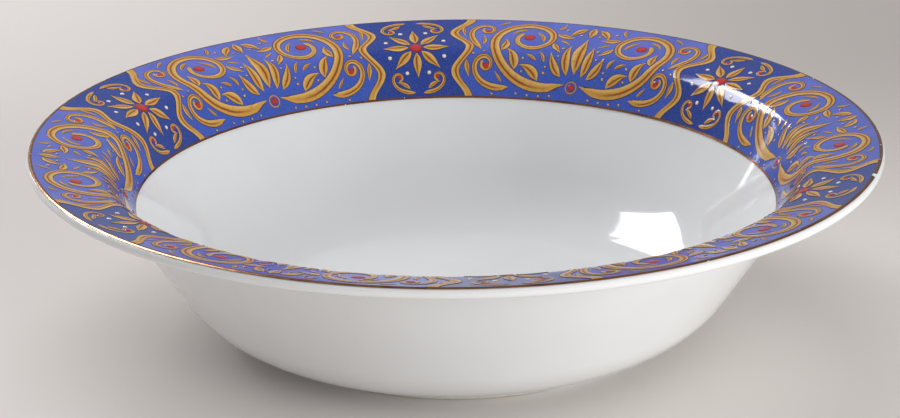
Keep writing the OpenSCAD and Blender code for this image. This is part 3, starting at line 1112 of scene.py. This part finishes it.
class BOWL_OT_panels(bpy.types.Operator):
    """Makes the royal blue panels and their gold frames"""

    bl_idname = "bowl.panels"
    bl_label = "Panels and frames"

    def execute(self, context):
        bowl = settings()
        band = bowl.band
        section = Section(bowl)
        finish = print_finish("printed_panel", bowl.colours.panel, bowl.colours.panel)
        sides = (lambda y: -section.panel_half(y), section.panel_half)
        for k in range(band.panels):
            turn = section.panel_turn(k)
            field = Shape()
            draw_sheet(field, section, band, sides, band.panel_w, turn)
            field.piece(f"panel_{k + 1}", finish, "panel_navy", f"panel_field_{k + 1}")
            edging = Shape()
            for side in (-1, 1):
                draw_frame(edging, section, band, turn, side)
            edging.piece(f"frame_{k + 1}", gold(), "gold_enamel", f"panel_frame_{k + 1}")
        return {"FINISHED"}


class BOWL_OT_rosettes(bpy.types.Operator):
    """Makes the rosettes of the panels, with their jewels, pearls and corner curls"""

    bl_idname = "bowl.rosettes"
    bl_label = "Rosettes"

    def execute(self, context):
        bowl = settings()
        band = bowl.band
        section = Section(bowl)
        layers = Layers(band)
        white = drop_finish("white_pearls", bowl.colours.white, bowl.colours.gold)
        middle = Vector((0, section.width / 2))
        inner = band.jewel_r + EYE_GAP
        petal_len = (band.rosette_r - inner) / MM
        petal_w = PETAL_SHARE * math.pi * band.rosette_r / band.petals / MM
        pearl_ring = PEARL_SHARE * band.rosette_r
        pearl_r = PEARL_R_SHARE * band.berry_r
        plain = Vector((MM, MM))
        corners = [raised(stroke, middle.y / MM) for stroke in CORNER_STROKES]
        corners += [raised(flipped(stroke), middle.y / MM) for stroke in CORNER_STROKES]
        for k in range(band.panels):
            turn = section.panel_turn(k)
            petals = Shape()
            pearls = Shape()
            for a in even_turns(band.petals):
                root = (middle + inner * heading_vector(a)) / MM
                petal = Stroke(*root, math.degrees(a), petal_len, 0, 0, petal_w, LEAF)
                draw_stroke(petals, section, petal, turn, plain, layers.enamel)
                spot = middle + pearl_ring * heading_vector(a + math.pi / band.petals)
                draw_drop(pearls, section, spot, pearl_r, turn, layers.drop)
            petals.piece(f"petals_{k + 1}", gold(), "gold_enamel", f"rosette_{k + 1}")
            pearls.piece(f"pearls_{k + 1}", white, "glaze")
            curls = Shape()
            dots = Shape()
            for stroke in corners:
                for side in (-1, 1):
                    draw_stroke(curls, section, stroke, turn, plain, layers.filigree, side)
                    if stroke.kind == STEM:
                        draw_eye(dots, section, band, stroke, turn, plain, side)
            curls.piece(f"corner_curls_{k + 1}", gold(), "gold_enamel")
            dots.piece(f"corner_dots_{k + 1}", red(), "red_enamel")
            jewel = Shape()
            draw_drop(jewel, section, middle, band.jewel_r, turn, layers.drop)
            jewel.piece(f"jewel_drop_{k + 1}", red(), "red_enamel", f"jewel_{k + 1}")
        return {"FINISHED"}


class BOWL_OT_scrolls(bpy.types.Operator):
    """Makes the gold scrolls between the panels, with their thin leaves and berries"""

    bl_idname = "bowl.scrolls"
    bl_label = "Scrolls and berries"

    def execute(self, context):
        bowl = settings()
        band = bowl.band
        section = Section(bowl)
        layers = Layers(band)
        stretch = Vector((section.field_w / 2 / SHEET.x, section.width / SHEET.y))
        low_berry = stretched(MIDDLE_BERRY, stretch)
        ring_r = band.berry_r + RING_GAP
        for k in range(band.panels):
            turn = section.field_turn(k)
            scrolls = Shape()
            berries = Shape()
            filigree = Shape()
            for side in (-1, 1):
                for stroke in HALF_FIELD:
                    draw_stroke(scrolls, section, stroke, turn, stretch, layers.enamel, side)
                    if stroke.kind == STEM:
                        draw_eye(berries, section, band, stroke, turn, stretch, side)
                for stroke in FILIGREE:
                    draw_stroke(filigree, section, stroke, turn, stretch, layers.filigree, side)
                for x, y, radius in FIELD_DOTS:
                    spot = stretched(Vector((side * x, y)), stretch)
                    draw_drop(filigree, section, spot, radius * stretch.y, turn, layers.drop)
            for stroke in MIDDLE_LEAVES:
                draw_stroke(scrolls, section, stroke, turn, stretch, layers.enamel)
            draw_drop(berries, section, low_berry, band.berry_r, turn, layers.drop)
            draw_ring(filigree, section, low_berry, ring_r, RING_W, turn, layers.filigree)
            scrolls.piece(f"scrolls_{k + 1}", gold(), "gold_enamel", f"scroll_field_{k + 1}")
            berries.piece(f"berry_drops_{k + 1}", red(), "red_enamel", f"berries_{k + 1}")
            filigree.piece(f"filigree_{k + 1}", gold(), "gold_enamel")
        return {"FINISHED"}


# Stage

FLOOR_R = 6.0
FLOOR_STEPS = 64

# Width of the photograph and the place of the rim's middle from that of the photograph, in pixels
PHOTO_W = 900
RIM_RIGHT = 5.9
RIM_UP = 74.8

# Size of each softbox in metres, its place round the bowl in degrees and its distance
Softbox = namedtuple("Softbox", "width height azimuth elevation distance")
WINDOW = Softbox(0.58, 0.56, 136.5, 37, 1.27)
GLINT = Softbox(0.58, 0.5, 137, 38.5, 1.25)
STRIP = Softbox(0.27, 0.44, 119, 35.5, 1.3)
STREAK = Softbox(0.035, 0.26, 128, 12, 1.3)
FILL = Softbox(1.0, 0.6, -38, 11, 1.3)
OVERHEAD = Softbox(1.0, 1.0, 110, 60, 1.4)


def direction(azimuth, elevation):
    """Unit vector towards a place round the bowl, in degrees"""
    a = math.radians(azimuth)
    e = math.radians(elevation)
    return Vector((math.cos(a) * math.cos(e), math.sin(a) * math.cos(e), math.sin(e)))


def softbox(name, power, box, target):
    """A softbox turned towards the bowl"""
    lamp = bpy.data.lights.new(name, "AREA")
    lamp.shape = "RECTANGLE"
    lamp.size = box.width
    lamp.size_y = box.height
    lamp.energy = power
    stand = bpy.data.objects.new(name, lamp)
    towards = direction(box.azimuth, box.elevation)
    stand.location = target + box.distance * towards
    stand.rotation_euler = towards.to_track_quat("Z", "Y").to_euler()
    bpy.context.scene.collection.objects.link(stand)
    return stand


def paper_floor(stage):
    """A wide round sheet of paper under the bowl"""
    mesh = bpy.data.meshes.new("floor")
    edge = [FLOOR_R * heading_vector(a) for a in even_turns(FLOOR_STEPS)]
    mesh.from_pydata([p.to_3d() for p in edge], [], [range(FLOOR_STEPS)])
    mesh.materials.append(floor_finish(stage))
    floor = bpy.data.objects.new("floor", mesh)
    bpy.context.scene.collection.objects.link(floor)


def even_light(strength):
    """Even white light from all round"""
    world = bpy.data.worlds.new("studio")
    world.use_nodes = True
    nodes = Nodes(world.node_tree)
    around = {"Color": (1, 1, 1, 1), "Strength": strength}
    light = nodes.node("ShaderNodeBackground", inputs=around)
    nodes.node("ShaderNodeOutputWorld", inputs={"Surface": light})
    bpy.context.scene.world = world


def swung(v, w, a):
    """Two square directions swung through an angle in their plane, the first towards the second"""
    return math.cos(a) * v + math.sin(a) * w, math.cos(a) * w - math.sin(a) * v


def photo_camera(stage, target):
    """Camera at the photograph's place, with the rim's middle off the middle of the picture"""
    camera = bpy.data.cameras.new("photo_camera")
    camera.lens = stage.lens / MM
    pixels = camera.lens / camera.sensor_width * PHOTO_W
    e = stage.elevation
    forward = Vector((0, math.cos(e), -math.sin(e)))
    right = Vector((1, 0, 0))
    up = right.cross(forward)
    place = target - stage.distance * forward
    forward, right = swung(forward, right, -math.atan2(RIM_RIGHT, pixels))
    forward, up = swung(forward, up, -math.atan2(RIM_UP, math.hypot(pixels, RIM_RIGHT)))
    right, up = swung(right, up, stage.roll)
    body = bpy.data.objects.new("photo_camera", camera)
    body.matrix_world = Matrix((right, up, -forward)).transposed().to_4x4()
    body.location = place
    bpy.context.scene.collection.objects.link(body)
    bpy.context.scene.camera = body


class BOWL_OT_stage(bpy.types.Operator):
    """Sets the floor, the lights and the camera"""

    bl_idname = "bowl.stage"
    bl_label = "Stage"

    def execute(self, context):
        bowl = settings()
        stage = bowl.stage
        paper_floor(stage)
        target = Vector((0, 0, bowl.sizes.bowl_h))
        for name, power, box in (
            ("window_softbox", stage.window, WINDOW),
            ("fill_softbox", stage.fill, FILL),
            ("overhead_softbox", stage.overhead, OVERHEAD),
        ):
            softbox(name, power, box, target).visible_glossy = False
        for name, power, box in (
            ("glint_card", stage.glint, GLINT),
            ("side_card", stage.strip, STRIP),
            ("streak_card", stage.streak, STREAK),
        ):
            softbox(name, power, box, target).visible_diffuse = False
        even_light(stage.surround)
        context.scene.view_settings.view_transform = "Standard"
        photo_camera(stage, target)
        return {"FINISHED"}


# Add-on

OPERATORS = (
    BOWL_OT_glaze,
    BOWL_OT_gilding,
    BOWL_OT_ground,
    BOWL_OT_panels,
    BOWL_OT_rosettes,
    BOWL_OT_scrolls,
    BOWL_OT_stage,
)


class BOWL_PT_pieces(bpy.types.Panel):
    """Lists the pieces of the bowl and its settings"""

    bl_idname = "BOWL_PT_pieces"
    bl_label = "Vegetable Bowl"
    bl_space_type = "VIEW_3D"
    bl_region_type = "UI"
    bl_category = "Bowl"

    def draw(self, context):
        for operator in OPERATORS:
            self.layout.operator(operator.bl_idname)
        bowl = context.scene.bowl
        for group in (bowl.sizes, bowl.band, bowl.colours, bowl.stage):
            for name in group.__annotations__:
                self.layout.prop(group, name)


GROUPS = (BowlSizes, BandSizes, BowlColours, StageSettings, BowlSettings)
CLASSES = (*GROUPS, *OPERATORS, BOWL_PT_pieces)


def register():
    for item in CLASSES:
        bpy.utils.register_class(item)
    bpy.types.Scene.bowl = bpy.props.PointerProperty(type=BowlSettings)


def unregister():
    del bpy.types.Scene.bowl
    for item in reversed(CLASSES):
        bpy.utils.unregister_class(item)


def main():
    register()
    bpy.ops.bowl.glaze()
    bpy.ops.bowl.gilding()
    bpy.ops.bowl.ground()
    bpy.ops.bowl.panels()
    bpy.ops.bowl.rosettes()
    bpy.ops.bowl.scrolls()
    bpy.ops.bowl.stage()


if __name__ == "__main__":
    main()
